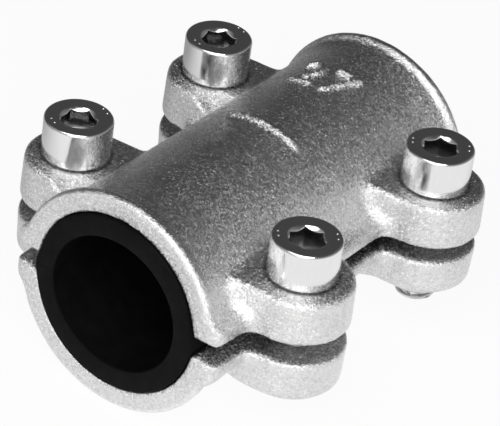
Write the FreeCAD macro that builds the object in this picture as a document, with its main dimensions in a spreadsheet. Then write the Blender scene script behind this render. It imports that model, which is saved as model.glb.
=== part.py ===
# Pipe repair clamp: two cast half shells round a split rubber sleeve, drawn together by four screws.
# Millimetres. X runs across the ears, Y along the pipe, +Z up along the screws.
# The origin is the centre of the pipe bore.

import FreeCAD, Part
import Sketcher
import math
import os

doc = FreeCAD.newDocument("PipeRepairClamp")
Vector = FreeCAD.Vector
Placement = FreeCAD.Placement
Rotation = FreeCAD.Rotation


# Driving sizes

SIZES = [
    ("pipe_diameter", 26.9, "outside diameter of the steel pipe that the clamp seals"),
    ("sleeve_wall", 4.0, "rubber wall"),
    ("sleeve_overhang", 0.4, "rubber standing proud of each casting end"),
    ("sleeve_slit", 0.2, "closed width of the cut along the sleeve"),
    ("sleeve_clearance", 0.2, "room between rubber and casting"),
    ("shell_length", 81.2, "casting, end face to end face"),
    ("split_gap", 3.6, "gap between the two castings when tightened"),
    ("waist_wall", 2.5, "casting wall between the collars"),
    ("collar_wall", 4.2, "casting wall through a collar"),
    ("collar_land", 1.6, "width of a collar's rim along the pipe"),
    ("collar_slope", 45.0, "slope from that rim down to the flare, degrees"),
    ("collar_sweep", 150.0, "angle over which a collar runs; its ends die away in the flanges"),
    ("collar_round", 0.9, "rounding of the collar rim"),
    ("flare_wall", 3.6, "casting wall at the end faces, under the collar"),
    ("flare_length", 13.0, "length over which the waist swells to that wall"),
    ("flange_width", 1.35, "side flange, how far it stands out beyond the collar"),
    ("flange_rise", 2.9, "straight height of the flange side above the split face"),
    ("flange_round", 0.6, "rounding of the flange's outer edge"),
    ("waist_blend", 4.0, "hollow between flange and waist"),
    ("collar_blend", 60.0, "flat hollow between flange and collar"),
    ("screw_from_flange", 2.8, "screw axis, beyond the side of the flange"),
    ("screw_from_end", 19.35, "screw axis, from the casting's end face"),
    ("upper_ear_height", 9.0, "ear of the upper casting, above its split face"),
    ("lower_ear_height", 7.7, "ear of the lower casting, below its split face"),
    ("ear_radius", 10.1, "rounded end of an ear"),
    ("ear_taper", 5.0, "angle by which each flank of an ear widens towards the pipe, degrees"),
    ("ear_draft", 2.0, "casting draft of an ear's sides, degrees"),
    ("ear_round", 1.1, "rounding of an ear's outer edge"),
    ("root_blend", 2.6, "hollow between ear and body"),
    ("rib_place", 0.4, "cast arc across the crown, behind the middle"),
    ("rib_width", 1.1, "thickness of that arc"),
    ("rib_height", 0.5, "how far that arc stands proud"),
    ("rib_angle", 46.0, "sweep of that arc, degrees"),
    ("shank_hole", 9.0, "hole through the upper ears"),
    ("screw_diameter", 8.0, "thread, outside"),
    ("screw_length", 25.0, "under the head"),
    ("screw_point", 1.1, "chamfer at the screw's end"),
    ("head_diameter", 13.0, "socket head"),
    ("head_height", 8.0, "socket head"),
    ("head_round", 0.7, "rounding of the head's upper edge"),
    ("socket_width", 6.0, "hexagon, across flats"),
    ("socket_depth", 4.4, "hexagon, below the head's top"),
    ("socket_mouth", 8.6, "diameter of the bevel round the hexagon"),
    ("socket_bevel", 0.4, "depth of that bevel at the hexagon's flats"),
    ("front_left_turn", 36.0, "where this screw's hexagon came to rest, degrees"),
    ("front_right_turn", 12.0, "where this screw's hexagon came to rest, degrees"),
    ("back_left_turn", 45.0, "where this screw's hexagon came to rest, degrees"),
    ("back_right_turn", 3.0, "where this screw's hexagon came to rest, degrees"),
    ("thread_clearance", 0.05, "room round the thread in the tapped hole"),
]

# Sizes that follow from the driving ones

DERIVED = [
    ("bore_radius", "pipe_diameter / 2"),
    ("sleeve_radius", "bore_radius + sleeve_wall"),
    ("seat_radius", "sleeve_radius + sleeve_clearance"),
    ("waist_radius", "seat_radius + waist_wall"),
    ("flare_radius", "seat_radius + flare_wall"),
    ("collar_radius", "seat_radius + collar_wall"),
    ("split_face", "split_gap / 2"),
    ("flange_reach", "collar_radius + flange_width"),
    ("flange_top", "split_face + flange_rise"),
    ("screw_x", "flange_reach + screw_from_flange"),
    ("screw_y", "shell_length / 2 - screw_from_end"),
    ("head_seat", "split_face + upper_ear_height"),
    ("tapped_hole", "screw_diameter + 2 * thread_clearance"),
]

sheet = doc.addObject("Spreadsheet::Sheet", "Sizes")
for row, (alias, value, meaning) in enumerate(SIZES, start=1):
    sheet.set(f"A{row}", alias)
    sheet.set(f"B{row}", str(value))
    sheet.set(f"C{row}", meaning)
    sheet.setAlias(f"B{row}", alias)
doc.recompute()
for row, (alias, formula) in enumerate(DERIVED, start=len(SIZES) + 1):
    sheet.set(f"A{row}", alias)
    sheet.set(f"B{row}", "=" + formula)
    sheet.setAlias(f"B{row}", alias)
    doc.recompute()


def size(alias):
    return float(sheet.get(alias))


# Sketch helpers

START, END, CENTRE = 1, 2, 3
ORIGIN = (-1, 1)
X_AXIS = -1


def new_body(name):
    body = doc.addObject("PartDesign::Body", name)
    body.Label = name
    return body


def new_sketch(body, name, role, offset=None):
    sketch = body.newObject("Sketcher::SketchObject", name)
    plane = next(item for item in body.Origin.OriginFeatures if item.Role == role)
    sketch.AttachmentSupport = [(plane, "")]
    sketch.MapMode = "FlatFace"
    if offset:
        sketch.setExpression(".AttachmentOffset.Base.z", offset)
    return sketch


def worth(sketch, formula):
    return float(sketch.evalExpression(formula))


def dimension(sketch, formula, kind, *where):
    # One sketch dimension, driven by the sheet.
    index = sketch.addConstraint(Sketcher.Constraint(kind, *where, worth(sketch, formula)))
    sketch.setExpression(f"Constraints[{index}]", formula)


def join(sketch, first, first_end, second, second_end, kind="Coincident"):
    sketch.addConstraint(Sketcher.Constraint(kind, first, first_end, second, second_end))


def level(sketch, kind, *lines):
    for line in lines:
        sketch.addConstraint(Sketcher.Constraint(kind, line))


def straight(sketch, start, end):
    return sketch.addGeometry(Part.LineSegment(Vector(*start, 0), Vector(*end, 0)))


def full_circle(sketch, centre, radius):
    return sketch.addGeometry(Part.Circle(Vector(*centre, 0), Vector(0, 0, 1), radius))


def curved(sketch, centre, radius, start, end):
    circle = Part.Circle(Vector(*centre, 0), Vector(0, 0, 1), radius)
    return sketch.addGeometry(Part.ArcOfCircle(circle, math.radians(start), math.radians(end)))


def closed_lines(sketch, corners):
    # A closed outline of straight lines, one from each corner to the next.
    following = corners[1:] + corners[:1]
    lines = [straight(sketch, first, second) for first, second in zip(corners, following)]
    for first, second in zip(lines, lines[1:] + lines[:1]):
        join(sketch, first, END, second, START)
    return lines


# Feature helpers

def add_fillet(body, name, base, edges, formula):
    fillet = body.newObject("PartDesign::Fillet", name)
    fillet.Base = (base, edges)
    fillet.setExpression("Radius", formula)
    doc.recompute()
    return fillet


def turned(body, kind, name, sketch, axis="V_Axis"):
    feature = body.newObject(f"PartDesign::{kind}", name)
    feature.Profile = sketch
    feature.ReferenceAxis = (sketch, [axis])
    feature.Angle = 360
    doc.recompute()
    return feature


def through_pocket(body, name, sketch):
    pocket = body.newObject("PartDesign::Pocket", name)
    pocket.Profile = sketch
    pocket.Type = "ThroughAll"
    pocket.Midplane = True
    doc.recompute()
    return pocket


def edges_at(shape, axis, place, above=None):
    # Names of the edges that lie in the plane axis = place, only those that rise above a height.
    names = []
    for number, edge in enumerate(shape.Edges, start=1):
        box = edge.BoundBox
        low = getattr(box, axis + "Min")
        high = getattr(box, axis + "Max")
        if abs(low - place) < 0.01 and abs(high - place) < 0.01:
            if above is None or box.ZMax > above + 0.01:
                names.append(f"Edge{number}")
    return names


# Casting body: one smooth loft through outlines taken across the pipe.
# Each outline is an arc over the pipe, a hollow down to each side flange and the flat split face.
# Towards the ends the arc flares and the hollow flattens.

FLARE_STEPS = 3
HALF_LENGTH = "Sizes.shell_length / 2"


def hollow_place(arc_radius, hollow_radius, reach, top):
    # Centre of the hollow that touches the arc and ends at the flange's upper corner,
    # and the angle of the line from the origin through it.
    corner = math.hypot(reach, top)
    away = arc_radius + hollow_radius
    between = math.acos((away**2 + corner**2 - hollow_radius**2) / (2 * away * corner))
    angle = math.atan2(top, reach) + between
    return away * math.cos(angle), away * math.sin(angle), math.degrees(angle)


def cross_outline(body, name, place, swell):
    # place is the outline's distance behind the middle; swell runs from 0 at the waist
    # to 1 at an end face.
    sketch = new_sketch(body, name, "XZ_Plane", f"-({place})")
    arc_formula = f"Sizes.waist_radius + (Sizes.flare_radius - Sizes.waist_radius) * {swell}"
    hollow_formula = f"1 / ((1 - {swell}) / Sizes.waist_blend + {swell} / Sizes.collar_blend)"
    arc_radius = worth(sketch, arc_formula)
    hollow_radius = worth(sketch, hollow_formula)
    reach = size("flange_reach")
    top = size("flange_top")
    split = size("split_face")
    x, z, touch = hollow_place(arc_radius, hollow_radius, reach, top)
    corner = math.degrees(math.atan2(top - z, reach - x))
    base = straight(sketch, (-reach, split), (reach, split))
    right = straight(sketch, (reach, split), (reach, top))
    right_hollow = curved(sketch, (x, z), hollow_radius, touch + 180, corner + 360)
    crown = curved(sketch, (0, 0), arc_radius, touch, 180 - touch)
    left_hollow = curved(sketch, (-x, z), hollow_radius, 180 - corner, 360 - touch)
    left = straight(sketch, (-reach, top), (-reach, split))
    join(sketch, base, END, right, START)
    join(sketch, right, END, right_hollow, END)
    join(sketch, right_hollow, START, crown, START, "Tangent")
    join(sketch, crown, END, left_hollow, END, "Tangent")
    join(sketch, left_hollow, START, left, START)
    join(sketch, left, END, base, START)
    join(sketch, crown, CENTRE, *ORIGIN)
    level(sketch, "Horizontal", base)
    level(sketch, "Vertical", right, left)
    sketch.addConstraint(Sketcher.Constraint("Equal", left_hollow, right_hollow))
    dimension(sketch, "Sizes.split_face", "DistanceY", *ORIGIN, base, START)
    dimension(sketch, "Sizes.flange_reach", "DistanceX", *ORIGIN, right, START)
    dimension(sketch, "Sizes.flange_reach", "DistanceX", left, END, *ORIGIN)
    dimension(sketch, "Sizes.flange_rise", "DistanceY", right, START, right, END)
    dimension(sketch, "Sizes.flange_rise", "DistanceY", left, END, left, START)
    dimension(sketch, arc_formula, "Radius", crown)
    dimension(sketch, hollow_formula, "Radius", right_hollow)
    return sketch


def casting_body(name):
    body = new_body(name)
    places = [("0", "0"), (f"({HALF_LENGTH} - Sizes.flare_length) / 2", "0")]
    for step in range(FLARE_STEPS + 1):
        share = step / FLARE_STEPS
        place = f"{HALF_LENGTH} - Sizes.flare_length * {1 - share}"
        places.append((place, str(share**2)))
    outlines = []
    for number in range(len(places) - 1, 0, -1):
        outlines.append(cross_outline(body, f"{name}_outline_back_{number}", *places[number]))
    for number, (place, swell) in enumerate(places):
        outline = cross_outline(body, f"{name}_outline_front_{number}", f"-({place})", swell)
        outlines.append(outline)
    loft = body.newObject("PartDesign::AdditiveLoft", f"{name}_loft")
    loft.Profile = outlines[0]
    loft.Sections = outlines[1:]
    loft.Ruled = False
    doc.recompute()
    split = size("split_face")
    reach = size("flange_reach")
    corners = edges_at(loft.Shape, "X", reach, split) + edges_at(loft.Shape, "X", -reach, split)
    long_corners = []
    for corner in corners:
        box = loft.Shape.getElement(corner).BoundBox
        if box.YLength > box.ZLength:
            long_corners.append(corner)
    flange = add_fillet(body, f"{name}_flange_edges", loft, long_corners, "Sizes.flange_round")
    half = size("shell_length") / 2
    rims = edges_at(flange.Shape, "Y", half, split) + edges_at(flange.Shape, "Y", -half, split)
    add_fillet(body, f"{name}_end_rims", flange, rims, "Sizes.collar_round")
    return body


# Collar: a ring with a flat rim and a steep inner slope, turned about the pipe's axis.

def collar_ring(name, turn):
    body = new_body(name)
    sketch = new_sketch(body, f"{name}_section", "YZ_Plane")
    half = size("shell_length") / 2
    rim = size("collar_radius")
    rounding = size("collar_round")
    inner_edge = half - size("collar_land")
    buried = "Sizes.seat_radius + Sizes.waist_wall / 2"
    foot = worth(sketch, buried)
    slope_run = (rim - foot) / math.tan(math.radians(size("collar_slope")))
    base = straight(sketch, (half, foot), (inner_edge - slope_run, foot))
    slope = straight(sketch, (inner_edge - slope_run, foot), (inner_edge, rim))
    land = straight(sketch, (inner_edge, rim), (half - rounding, rim))
    rounded = curved(sketch, (half - rounding, rim - rounding), rounding, 0, 90)
    face = straight(sketch, (half, rim - rounding), (half, foot))
    join(sketch, base, END, slope, START)
    join(sketch, slope, END, land, START)
    join(sketch, land, END, rounded, END, "Tangent")
    join(sketch, rounded, START, face, START, "Tangent")
    join(sketch, face, END, base, START)
    level(sketch, "Horizontal", base, land)
    level(sketch, "Vertical", face)
    dimension(sketch, "Sizes.shell_length / 2", "DistanceX", *ORIGIN, face, END)
    dimension(sketch, buried, "DistanceY", *ORIGIN, face, END)
    dimension(sketch, "Sizes.collar_radius", "DistanceY", *ORIGIN, land, START)
    dimension(sketch, "Sizes.collar_land", "DistanceX", land, START, face, END)
    dimension(sketch, "Sizes.collar_slope", "Angle", slope)
    dimension(sketch, "Sizes.collar_round", "Radius", rounded)
    ring = turned(body, "Revolution", f"{name}_turned", sketch, "H_Axis")
    ring.Midplane = True
    ring.setExpression("Angle", "Sizes.collar_sweep")
    body.Placement = Placement(Vector(0, 0, 0), Rotation(Vector(0, 0, 1), turn))
    doc.recompute()
    return body


# Ears: both ears of one end are drawn as one bar across the pipe, whose middle the bore takes away.

def ear_pair(name, place, height):
    body = new_body(name)
    sketch = new_sketch(body, f"{name}_outline", "XY_Plane", "Sizes.split_face")
    taper = size("ear_taper")
    slope = math.radians(taper)
    radius = size("ear_radius")
    x = size("screw_x")
    y = worth(sketch, place)
    tip_x = x + radius * math.sin(slope)
    tip_y = radius * math.cos(slope)
    middle_y = tip_y + tip_x * math.tan(slope)
    right = curved(sketch, (x, y), radius, taper - 90, 90 - taper)
    back_right = straight(sketch, (tip_x, y + tip_y), (0, y + middle_y))
    back_left = straight(sketch, (0, y + middle_y), (-tip_x, y + tip_y))
    left = curved(sketch, (-x, y), radius, 90 + taper, 270 - taper)
    front_left = straight(sketch, (-tip_x, y - tip_y), (0, y - middle_y))
    front_right = straight(sketch, (0, y - middle_y), (tip_x, y - tip_y))
    join(sketch, right, END, back_right, START, "Tangent")
    join(sketch, back_right, END, back_left, START)
    join(sketch, back_left, END, left, START, "Tangent")
    join(sketch, left, END, front_left, START, "Tangent")
    join(sketch, front_left, END, front_right, START)
    join(sketch, front_right, END, right, START, "Tangent")
    for line in (back_right, front_right):
        dimension(sketch, "0", "DistanceX", *ORIGIN, line, END if line == back_right else START)
    dimension(sketch, "Sizes.screw_x", "DistanceX", *ORIGIN, right, CENTRE)
    dimension(sketch, "Sizes.screw_x", "DistanceX", left, CENTRE, *ORIGIN)
    dimension(sketch, place, "DistanceY", *ORIGIN, right, CENTRE)
    dimension(sketch, place, "DistanceY", *ORIGIN, left, CENTRE)
    dimension(sketch, "Sizes.ear_radius", "Radius", right)
    dimension(sketch, "Sizes.ear_radius", "Radius", left)
    for line in (back_right, front_right):
        angle = "180 - Sizes.ear_taper" if line == back_right else "Sizes.ear_taper"
        dimension(sketch, angle, "Angle", line)
    pad = body.newObject("PartDesign::Pad", f"{name}_pad")
    pad.Profile = sketch
    pad.setExpression("Length", height)
    pad.setExpression("TaperAngle", "-Sizes.ear_draft")
    doc.recompute()
    outer = edges_at(pad.Shape, "Z", pad.Shape.BoundBox.ZMax)
    add_fillet(body, f"{name}_edges", pad, outer, "Sizes.ear_round")
    return body


def root_edges(rough, casting, ears):
    # The hollow corners: edges that lie on the skin of the casting body and of an ear.
    names = []
    for number, edge in enumerate(rough.Edges, start=1):
        if edge.BoundBox.ZMax < size("split_face") + 0.01:
            continue
        middle = Part.Vertex(edge.valueAt((edge.FirstParameter + edge.LastParameter) / 2))
        on_casting = casting.distToShape(middle)[0] < 0.001
        if on_casting and any(ear.distToShape(middle)[0] < 0.001 for ear in ears):
            names.append(f"Edge{number}")
    return names


def screw_circles(body, name, diameter):
    # One circle on each of the four screw axes.
    sketch = new_sketch(body, name, "XY_Plane")
    x = size("screw_x")
    y = size("screw_y")
    radius = worth(sketch, diameter) / 2
    for x_side in (-1, 1):
        for y_side in (-1, 1):
            hole = full_circle(sketch, (x_side * x, y_side * y), radius)
            dimension(sketch, f"{x_side} * Sizes.screw_x", "DistanceX", *ORIGIN, hole, CENTRE)
            dimension(sketch, f"{y_side} * Sizes.screw_y", "DistanceY", *ORIGIN, hole, CENTRE)
            dimension(sketch, diameter, "Diameter", hole)
    return sketch


def half_shell(name, casting, ear_height, hole_diameter):
    front = ear_pair(f"{name}_ears_front", "-Sizes.screw_y", ear_height)
    back = ear_pair(f"{name}_ears_back", "Sizes.screw_y", ear_height)
    rough = doc.addObject("Part::MultiFuse", f"{name}_rough")
    rough.Shapes = [casting, front, back, *collars]
    rough.Refine = True
    doc.recompute()
    body = new_body(name)
    body.BaseFeature = rough
    doc.recompute()
    blank = body.Tip
    skins = [part.Shape.Shells[0] for part in (casting, front, back)]
    roots = root_edges(blank.Shape, skins[0], skins[1:])
    add_fillet(body, f"{name}_roots", blank, roots, "Sizes.root_blend")
    bore = new_sketch(body, f"{name}_bore_outline", "XZ_Plane")
    circle = full_circle(bore, (0, 0), size("seat_radius"))
    join(bore, circle, CENTRE, *ORIGIN)
    dimension(bore, "Sizes.seat_radius", "Radius", circle)
    through_pocket(body, f"{name}_bore", bore)
    holes = screw_circles(body, f"{name}_hole_outlines", hole_diameter)
    through_pocket(body, f"{name}_holes", holes)
    return body


# Both castings start from the same body and collars.

casting = casting_body("casting_body")
collars = [collar_ring("collar_back", 0), collar_ring("collar_front", 180)]


# Upper casting: thicker ears with plain holes, and a cast arc across the crown.

upper_shell = half_shell("upper_shell", casting, "Sizes.upper_ear_height", "Sizes.shank_hole")

rib_outline = new_sketch(upper_shell, "rib_outline", "YZ_Plane")
rib_middle = "Sizes.waist_radius + Sizes.rib_height - Sizes.rib_width / 2"
rib_centre = (size("rib_place"), worth(rib_outline, rib_middle))
bead = full_circle(rib_outline, rib_centre, size("rib_width") / 2)
dimension(rib_outline, "Sizes.rib_place", "DistanceX", *ORIGIN, bead, CENTRE)
dimension(rib_outline, rib_middle, "DistanceY", *ORIGIN, bead, CENTRE)
dimension(rib_outline, "Sizes.rib_width", "Diameter", bead)
crown_rib = turned(upper_shell, "Revolution", "crown_rib", rib_outline, "H_Axis")
crown_rib.Midplane = True
crown_rib.setExpression("Angle", "Sizes.rib_angle")
doc.recompute()


# Lower casting: the same form turned over, with thinner ears tapped for the screws.

lower_shell = half_shell("lower_shell", casting, "Sizes.lower_ear_height", "Sizes.tapped_hole")
lower_shell.Placement = Placement(Vector(0, 0, 0), Rotation(Vector(0, 1, 0), 180))


# Rubber sleeve: a thick tube, cut along its left side so that it opens round the pipe.

rubber_sleeve = new_body("rubber_sleeve")
ring = new_sketch(rubber_sleeve, "sleeve_ring", "XZ_Plane")
for alias in ("sleeve_radius", "bore_radius"):
    wall = full_circle(ring, (0, 0), size(alias))
    join(ring, wall, CENTRE, *ORIGIN)
    dimension(ring, f"Sizes.{alias}", "Radius", wall)
tube = rubber_sleeve.newObject("PartDesign::Pad", "sleeve_tube")
tube.Profile = ring
tube.setExpression("Length", "Sizes.shell_length + 2 * Sizes.sleeve_overhang")
tube.Midplane = True
doc.recompute()

slit = new_sketch(rubber_sleeve, "slit_outline", "XZ_Plane")
beyond = "Sizes.sleeve_radius + Sizes.sleeve_wall / 2"
within = "Sizes.bore_radius - Sizes.sleeve_wall / 2"
slit_out = -worth(slit, beyond)
slit_in = -worth(slit, within)
slit_half = size("sleeve_slit") / 2
slit_corners = [
    (slit_out, -slit_half),
    (slit_in, -slit_half),
    (slit_in, slit_half),
    (slit_out, slit_half),
]
low, inner, high, outer = closed_lines(slit, slit_corners)
level(slit, "Horizontal", low, high)
level(slit, "Vertical", inner, outer)
dimension(slit, beyond, "DistanceX", low, START, *ORIGIN)
dimension(slit, within, "DistanceX", low, END, *ORIGIN)
dimension(slit, "Sizes.sleeve_slit / 2", "DistanceY", low, START, *ORIGIN)
dimension(slit, "Sizes.sleeve_slit", "DistanceY", inner, START, inner, END)
through_pocket(rubber_sleeve, "sleeve_cut", slit)


# Socket head cap screws. Height 0 of a screw is the underside of its head.

def turned_blank(body, name):
    sketch = new_sketch(body, f"{name}_half_section", "XZ_Plane")
    shank = size("screw_diameter") / 2
    length = size("screw_length")
    point = size("screw_point")
    head = size("head_diameter") / 2
    height = size("head_height")
    edge = size("head_round")
    corners = [
        (0, -length),
        (shank - point, -length),
        (shank, point - length),
        (shank, 0),
        (head, 0),
        (head, height - edge),
    ]
    lines = [straight(sketch, first, second) for first, second in zip(corners, corners[1:])]
    bottom, bevel, side, under, rise = lines
    rim = curved(sketch, (head - edge, height - edge), edge, 0, 90)
    top = straight(sketch, (head - edge, height), (0, height))
    axis = straight(sketch, (0, height), (0, -length))
    for first, second in zip(lines, lines[1:]):
        join(sketch, first, END, second, START)
    join(sketch, rise, END, rim, START, "Tangent")
    join(sketch, rim, END, top, START, "Tangent")
    join(sketch, top, END, axis, START)
    join(sketch, axis, END, bottom, START)
    level(sketch, "Horizontal", bottom, under, top)
    level(sketch, "Vertical", side, axis)
    dimension(sketch, "0", "DistanceX", *ORIGIN, axis, START)
    dimension(sketch, "0", "DistanceY", *ORIGIN, under, START)
    dimension(sketch, "Sizes.screw_length", "DistanceY", bottom, START, *ORIGIN)
    dimension(sketch, "Sizes.screw_point", "DistanceX", bevel, START, bevel, END)
    dimension(sketch, "Sizes.screw_point", "DistanceY", bevel, START, bevel, END)
    dimension(sketch, "Sizes.screw_diameter / 2", "DistanceX", *ORIGIN, side, START)
    dimension(sketch, "Sizes.head_diameter / 2", "DistanceX", *ORIGIN, rise, START)
    dimension(sketch, "Sizes.head_round", "Radius", rim)
    dimension(sketch, "Sizes.head_height", "DistanceY", *ORIGIN, top, END)
    level(sketch, "Vertical", rise)
    return turned(body, "Revolution", f"{name}_blank", sketch)


def bevel_mouth(body, name):
    # The cone round the hexagon; its depth is given where it meets the hexagon's flats.
    sketch = new_sketch(body, f"{name}_mouth_outline", "XZ_Plane")
    height = size("head_height")
    radius = size("socket_mouth") / 2
    cone = "Sizes.socket_bevel * Sizes.socket_mouth / (Sizes.socket_mouth - Sizes.socket_width)"
    depth = worth(sketch, cone)
    face, slope, middle = closed_lines(sketch, [(0, height), (radius, height), (0, height - depth)])
    level(sketch, "Horizontal", face)
    level(sketch, "Vertical", middle)
    dimension(sketch, "0", "DistanceX", *ORIGIN, face, START)
    dimension(sketch, "Sizes.head_height", "DistanceY", *ORIGIN, face, START)
    dimension(sketch, "Sizes.socket_mouth / 2", "DistanceX", face, START, face, END)
    dimension(sketch, cone, "DistanceY", middle, START, middle, END)
    turned(body, "Groove", f"{name}_mouth", sketch)


def hexagon_socket(body, name):
    sketch = new_sketch(body, f"{name}_hexagon", "XY_Plane", "Sizes.head_height")
    corner = size("socket_width") / math.sqrt(3)
    turns = [math.radians(60 * number) for number in range(6)]
    corners = [(corner * math.cos(turn), corner * math.sin(turn)) for turn in turns]
    sides = closed_lines(sketch, corners)
    guide = full_circle(sketch, (0, 0), corner)
    sketch.setConstruction(guide, True)
    join(sketch, guide, CENTRE, *ORIGIN)
    dimension(sketch, "Sizes.socket_width / sqrt(3)", "Radius", guide)
    for line in sides:
        sketch.addConstraint(Sketcher.Constraint("PointOnObject", line, START, guide))
    for line in sides[1:]:
        sketch.addConstraint(Sketcher.Constraint("Equal", sides[0], line))
    sketch.addConstraint(Sketcher.Constraint("PointOnObject", sides[0], START, X_AXIS))
    socket = body.newObject("PartDesign::Pocket", f"{name}_socket")
    socket.Profile = sketch
    socket.setExpression("Length", "Sizes.socket_depth")
    doc.recompute()


def cap_screw(name, x_side, y_side, turn):
    body = new_body(name)
    turned_blank(body, name)
    bevel_mouth(body, name)
    hexagon_socket(body, name)
    body.Placement = Placement(Vector(0, 0, 0), Rotation(Vector(0, 0, 1), size(turn)))
    body.setExpression(".Placement.Rotation.Angle", f"Sizes.{turn}")
    body.setExpression(".Placement.Base.x", f"{x_side} * Sizes.screw_x")
    body.setExpression(".Placement.Base.y", f"{y_side} * Sizes.screw_y")
    body.setExpression(".Placement.Base.z", "Sizes.head_seat")
    doc.recompute()
    return body


PIECES = [upper_shell, lower_shell, rubber_sleeve]
for end, y_side in (("front", -1), ("back", 1)):
    for side, x_side in (("left", -1), ("right", 1)):
        PIECES.append(cap_screw(f"screw_{end}_{side}", x_side, y_side, f"{end}_{side}_turn"))


# Every feature must be sound before anything is written.

doc.recompute()
for item in doc.Objects:
    if "Invalid" in item.State or "Error" in item.State:
        raise RuntimeError(f"{item.Name} failed: {item.State}")
for piece in PIECES:
    if piece.Shape.isNull() or not piece.Shape.isValid():
        raise RuntimeError(f"{piece.Label} has no sound shape")
    if len(piece.Shape.Solids) != 1:
        raise RuntimeError(f"{piece.Label} is not one solid")

os.makedirs("parts", exist_ok=True)
for piece in PIECES:
    piece.Shape.exportStep(f"parts/{piece.Label}.step")
    print(f"{piece.Label}: {piece.Shape.Volume:.0f} mm3, {len(piece.Shape.Faces)} faces")
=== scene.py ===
# %% [markdown]
# # A pipe repair clamp, dressed for its portrait
#
# Two cast half shells close round a thick rubber sleeve, and four socket head cap screws draw
# them together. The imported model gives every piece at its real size. This lesson adds what the
# eye looks for: a cast skin with rounded edges, a raised size number, real threads, and metal
# and rubber that answer to light.
#
# Lengths are in metres. X runs across the ears, Y along the pipe and Z up along the screws.

# %% Load the frame
import bpy
import bmesh
import math
from mathutils import Matrix, Vector, noise


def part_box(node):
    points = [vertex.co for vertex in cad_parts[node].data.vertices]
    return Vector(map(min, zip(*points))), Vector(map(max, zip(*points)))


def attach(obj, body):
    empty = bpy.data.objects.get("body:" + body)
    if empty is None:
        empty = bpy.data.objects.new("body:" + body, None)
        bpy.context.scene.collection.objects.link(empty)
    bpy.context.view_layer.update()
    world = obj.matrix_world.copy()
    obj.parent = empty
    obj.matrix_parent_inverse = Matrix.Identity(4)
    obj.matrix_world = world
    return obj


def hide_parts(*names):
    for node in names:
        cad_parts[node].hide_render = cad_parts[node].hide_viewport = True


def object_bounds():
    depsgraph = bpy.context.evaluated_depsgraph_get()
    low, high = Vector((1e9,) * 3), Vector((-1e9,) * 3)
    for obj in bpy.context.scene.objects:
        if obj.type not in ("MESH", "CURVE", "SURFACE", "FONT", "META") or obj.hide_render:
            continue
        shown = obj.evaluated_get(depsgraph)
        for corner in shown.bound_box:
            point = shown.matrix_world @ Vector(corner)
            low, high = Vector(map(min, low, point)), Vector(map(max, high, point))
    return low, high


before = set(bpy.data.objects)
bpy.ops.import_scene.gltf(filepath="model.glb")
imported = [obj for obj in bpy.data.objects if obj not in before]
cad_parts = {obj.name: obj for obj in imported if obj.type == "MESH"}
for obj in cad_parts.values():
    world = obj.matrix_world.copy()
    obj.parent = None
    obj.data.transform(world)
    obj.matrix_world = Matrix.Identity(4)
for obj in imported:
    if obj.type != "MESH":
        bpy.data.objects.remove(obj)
cad_low, cad_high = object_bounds()
print("frame", [tuple(round(value, 4) for value in corner) for corner in (cad_low, cad_high)])

# %% [markdown]
# ## Measures taken from the frame
#
# A dressed piece has to sit where its construction piece sits. So the sizes that other pieces
# depend on are read from the boxes of the frame's nodes, and only small finish details get
# numbers of their own.

# %% Read the sleeve's size
MM = 0.001

sleeve_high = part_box("rubber_sleeve")[1]
SLEEVE_RADIUS = sleeve_high.z
SLEEVE_HALF = sleeve_high.y
SLEEVE_WALL = 4.0 * MM
SLEEVE_SLIT = 0.06 * MM
FLOOR_HEIGHT = cad_low.z
print("sleeve radius", round(SLEEVE_RADIUS, 5), "floor at", round(FLOOR_HEIGHT, 5))

# %% Find the screws
SCREWS = sorted(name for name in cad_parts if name.startswith("screw_"))
HEAD_RADIUS = 6.5 * MM
HEAD_HEIGHT = 8.0 * MM


def screw_seat(name):
    # Where a screw's axis meets the underside of its head.
    low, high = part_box(name)
    return Vector(((low.x + high.x) / 2, (low.y + high.y) / 2, high.z - HEAD_HEIGHT))


for screw_name in SCREWS:
    print(screw_name, "sits at", tuple(round(value, 4) for value in screw_seat(screw_name)))

# %% [markdown]
# ## Small helpers
#
# Operators act on whatever is selected, so each step starts by clearing the selection and
# picking one object. `pick` does that. `primitive` adds a shape and puts its place into its
# mesh, and `apply_modifier` adds a modifier and applies it at once, which keeps the finished
# meshes plain.

# %% Helpers for picking, adding and joining


def pick(piece):
    bpy.ops.object.select_all(action="DESELECT")
    piece.select_set(True)
    bpy.context.view_layer.objects.active = piece
    return piece


def added(name):
    # The object that the last operator made, under its own name.
    piece = bpy.context.active_object
    piece.name = name
    piece.data.name = name
    return piece


def primitive(name, operator, **settings):
    bpy.ops.object.select_all(action="DESELECT")
    operator(**settings)
    piece = pick(added(name))
    bpy.ops.object.transform_apply(location=True, rotation=True, scale=True)
    return piece


def join_into(piece, other):
    pick(other)
    piece.select_set(True)
    bpy.context.view_layer.objects.active = piece
    bpy.ops.object.join()


def report(piece):
    piece.data.calc_loop_triangles()
    print(piece.name, "triangles", len(piece.data.loop_triangles))


# %% Helpers for modifiers and edit mode


def apply_modifier(piece, name, kind, **settings):
    pick(piece)
    modifier = piece.modifiers.new(name, kind)
    for key, value in settings.items():
        setattr(modifier, key, value)
    bpy.ops.object.modifier_apply(modifier=name)


def edit_all(piece):
    pick(piece)
    bpy.ops.object.mode_set(mode="EDIT")
    bpy.ops.mesh.select_all(action="SELECT")


def edit_edges(piece, wanted):
    # Edit mode, with the edges selected for which wanted(edge) is true.
    pick(piece)
    bpy.ops.object.mode_set(mode="EDIT")
    bpy.ops.mesh.select_mode(type="EDGE")
    bpy.ops.mesh.select_all(action="DESELECT")
    net = bmesh.from_edit_mesh(piece.data)
    for edge in net.edges:
        edge.select = wanted(edge)
    bmesh.update_edit_mesh(piece.data)


def leave_edit():
    bpy.ops.object.mode_set(mode="OBJECT")


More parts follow.
